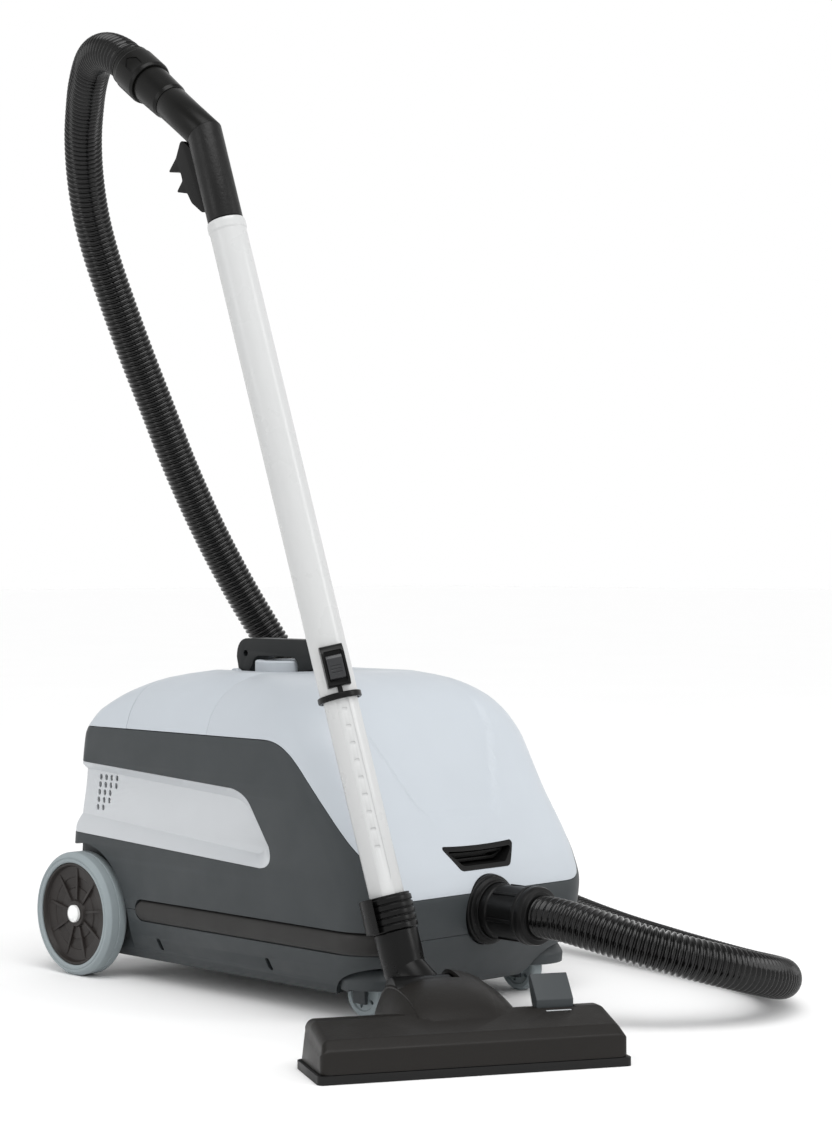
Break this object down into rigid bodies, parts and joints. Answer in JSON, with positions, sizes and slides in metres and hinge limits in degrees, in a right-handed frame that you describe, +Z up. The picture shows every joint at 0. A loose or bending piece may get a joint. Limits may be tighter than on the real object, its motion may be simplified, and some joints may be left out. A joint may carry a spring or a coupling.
{
  "type": "canister vacuum cleaner",
  "caption": "Canister vacuum with a hinged lid, large rear wheels, swivel casters, a telescopic wand, a floor nozzle and a corrugated hose.",
  "frame": {"origin": "on the floor, under the middle of the canister, wand and nozzle taken together, without the hose", "axes": "+Z up, -Y towards the canister's front, where the hose goes in, +X to the canister's right as its front faces -Y seen from behind it"},
  "size_m": [0.6736, 0.8129, 0.961],
  "materials": {
    "cover_grey": "light cool grey, fine satin grain",
    "body_dark": "dark grey, fine matt grain",
    "panel_silver": "silver satin",
    "trim_black": "black satin",
    "bumper_rubber": "soft black",
    "tyre_grey": "soft blue-grey, matt",
    "disc_brown": "brown-black, fine grain",
    "cap_white": "white gloss",
    "steel": "brushed",
    "motor_metal": "cast housing, satin",
    "tube_white": "white powder coat, semi-gloss",
    "wand_black": "black satin",
    "grip_black": "black, fine grain on the hand grip",
    "nozzle_black": "brown-black, fine grain",
    "sole_black": "black, smooth",
    "bristle": "black bristle strip",
    "hose_black": "black gloss, corrugated",
    "bag_paper": "buff paper",
    "filter_white": "white filter felt"
  },
  "bodies": {
    "canister": {"chassis": "body_dark", "upper_housing": "body_dark", "side_panel_left": "panel_silver", "side_panel_right": "panel_silver", "bumper_left": "bumper_rubber", "bumper_right": "bumper_rubber", "top_cover": "cover_grey", "rear_cover": "cover_grey", "rear_deck": "trim_black", "handle_pin": "steel", "power_switch": "trim_black", "exhaust_grille": "trim_black", "exhaust_filter": "filter_white", "mains_inlet": "trim_black", "bulkhead": "body_dark", "motor_filter": "filter_white", "motor_seal": "bumper_rubber", "motor": "motor_metal", "dust_bag": "bag_paper", "bag_plate": "bag_paper", "inlet_flange": "trim_black", "rear_axle": "steel", "hose_lower_run": "hose_black"},
    "lid": {"lid": "cover_grey", "latch_bezel": "trim_black"},
    "latch": {"latch_lever": "trim_black"},
    "carry_handle": {"carry_handle": "body_dark"},
    "power_button": {"power_button": "body_dark"},
    "fan": {"fan": "steel"},
    "inlet_cuff": {"inlet_cuff": "trim_black"},
    "rear_wheel_left": {"tyre_left": "tyre_grey", "wheel_disc_left": "disc_brown", "axle_cap_left": "cap_white"},
    "rear_wheel_right": {"tyre_right": "tyre_grey", "wheel_disc_right": "disc_brown", "axle_cap_right": "cap_white"},
    "caster_left": {"caster_fork_left": "body_dark", "caster_axle_left": "steel"},
    "caster_right": {"caster_fork_right": "body_dark", "caster_axle_right": "steel"},
    "caster_wheel_left": {"caster_wheel_left": "tyre_grey"},
    "caster_wheel_right": {"caster_wheel_right": "tyre_grey"},
    "wand_lower": {"inner_tube": "tube_white", "wand_cuff": "wand_black", "parking_clip": "wand_black", "nozzle_neck": "wand_black"},
    "wand_upper": {"outer_tube": "tube_white", "telescope_collar": "wand_black", "grip": "grip_black", "grip_sleeve": "grip_black", "hook_clip": "wand_black", "hose_upper_run": "hose_black"},
    "release_slider": {"release_slider": "wand_black"},
    "hose_cuff": {"hose_cuff": "grip_black"},
    "nozzle": {"nozzle_cover": "nozzle_black", "sole_plate": "sole_black"},
    "foot_pedal": {"foot_pedal": "nozzle_black"},
    "brush_strip": {"brush_strip": "bristle"},
    "roller_left": {"roller_left": "sole_black"},
    "roller_right": {"roller_right": "sole_black"}
  },
  "joints": [
    {"name": "lid_hinge", "type": "hinge", "parent": "canister", "child": "lid", "pos_m": [0.08571, 0.11826, 0.318], "axis": [-1, 0, 0], "range_deg": [0, 46]},
    {"name": "latch_pull", "type": "hinge", "parent": "lid", "child": "latch", "pos_m": [0.08571, -0.10074, 0.1544], "axis": [-1, 0, 0], "range_deg": [0, 6], "stiffness_Nm_per_rad": 0.4, "springref_deg": -2.86},
    {"name": "carry_handle_lift", "type": "hinge", "parent": "canister", "child": "carry_handle", "pos_m": [0.08571, 0.23326, 0.309], "axis": [-1, 0, 0], "range_deg": [0, 37]},
    {"name": "power_button_press", "type": "slide", "parent": "canister", "child": "power_button", "axis": [0, 0, -1], "range_m": [0, 0.004], "stiffness_N_per_m": 400, "springref_m": -0.002},
    {"name": "fan_spin", "type": "hinge", "parent": "canister", "child": "fan", "pos_m": [0.08571, 0.10226, 0.152], "axis": [0, 1, 0], "continuous": true},
    {"name": "inlet_cuff_turn", "type": "hinge", "parent": "canister", "child": "inlet_cuff", "pos_m": [0.08571, -0.14774, 0.097], "axis": [0, 1, 0], "continuous": true},
    {"name": "rear_wheel_left_roll", "type": "hinge", "parent": "canister", "child": "rear_wheel_left", "pos_m": [-0.07129, 0.31926, 0.064], "axis": [1, 0, 0], "continuous": true},
    {"name": "rear_wheel_right_roll", "type": "hinge", "parent": "canister", "child": "rear_wheel_right", "pos_m": [0.24271, 0.31926, 0.064], "axis": [1, 0, 0], "continuous": true},
    {"name": "caster_left_swivel", "type": "hinge", "parent": "canister", "child": "caster_left", "pos_m": [-0.02029, -0.07374, 0.04], "axis": [0, 0, 1], "continuous": true},
    {"name": "caster_right_swivel", "type": "hinge", "parent": "canister", "child": "caster_right", "pos_m": [0.19171, -0.07374, 0.04], "axis": [0, 0, 1], "continuous": true},
    {"name": "caster_wheel_left_roll", "type": "hinge", "parent": "caster_left", "child": "caster_wheel_left", "pos_m": [-0.02029, -0.06374, 0.023], "axis": [1, 0, 0], "continuous": true},
    {"name": "caster_wheel_right_roll", "type": "hinge", "parent": "caster_right", "child": "caster_wheel_right", "pos_m": [0.19171, -0.06374, 0.023], "axis": [1, 0, 0], "continuous": true},
    {"name": "wand_lean", "type": "hinge", "parent": "canister", "child": "wand_lower", "pos_m": [-0.07729, -0.21074, 0.04], "axis": [0.8846, -0.4664, 0], "range_deg": [0, 40], "deforming": ["hose_lower_run"]},
    {"name": "nozzle_tilt", "type": "hinge", "parent": "wand_lower", "child": "nozzle", "pos_m": [-0.07729, -0.21074, 0.04], "axis": [0.8846, -0.4664, 0], "range_deg": [-40, 0]},
    {"name": "telescope", "type": "slide", "parent": "wand_lower", "child": "wand_upper", "axis": [-0.0575, 0.2789, 0.9586], "range_m": [-0.165, 0.18], "deforming": ["hose_upper_run"]},
    {"name": "release_press", "type": "slide", "parent": "wand_upper", "child": "release_slider", "axis": [0.0575, -0.2789, -0.9586], "range_m": [0, 0.0035], "stiffness_N_per_m": 300, "springref_m": -0.001},
    {"name": "hose_cuff_turn", "type": "hinge", "parent": "wand_upper", "child": "hose_cuff", "pos_m": [-0.12512, 0.0517, 0.83705], "axis": [0, 0.8121, 0.5835], "continuous": true},
    {"name": "foot_pedal_press", "type": "hinge", "parent": "nozzle", "child": "foot_pedal", "pos_m": [-0.0293, -0.3084, 0.043], "axis": [-0.8846, 0.4664, 0], "range_deg": [0, 12]},
    {"name": "brush_drop", "type": "slide", "parent": "nozzle", "child": "brush_strip", "axis": [0, 0, -1], "range_m": [0, 0.0032]},
    {"name": "roller_left_roll", "type": "hinge", "parent": "nozzle", "child": "roller_left", "pos_m": [-0.10084, -0.1825, 0.009], "axis": [0.8846, -0.4664, 0], "continuous": true},
    {"name": "roller_right_roll", "type": "hinge", "parent": "nozzle", "child": "roller_right", "pos_m": [-0.04069, -0.21422, 0.009], "axis": [0.8846, -0.4664, 0], "continuous": true}
  ],
  "couplings": [
    {"joint": "nozzle_tilt", "follows": "wand_lean", "ratio": -1},
    {"joint": "foot_pedal_press", "follows": "brush_drop", "rad_per_m": 65.4}
  ]
}
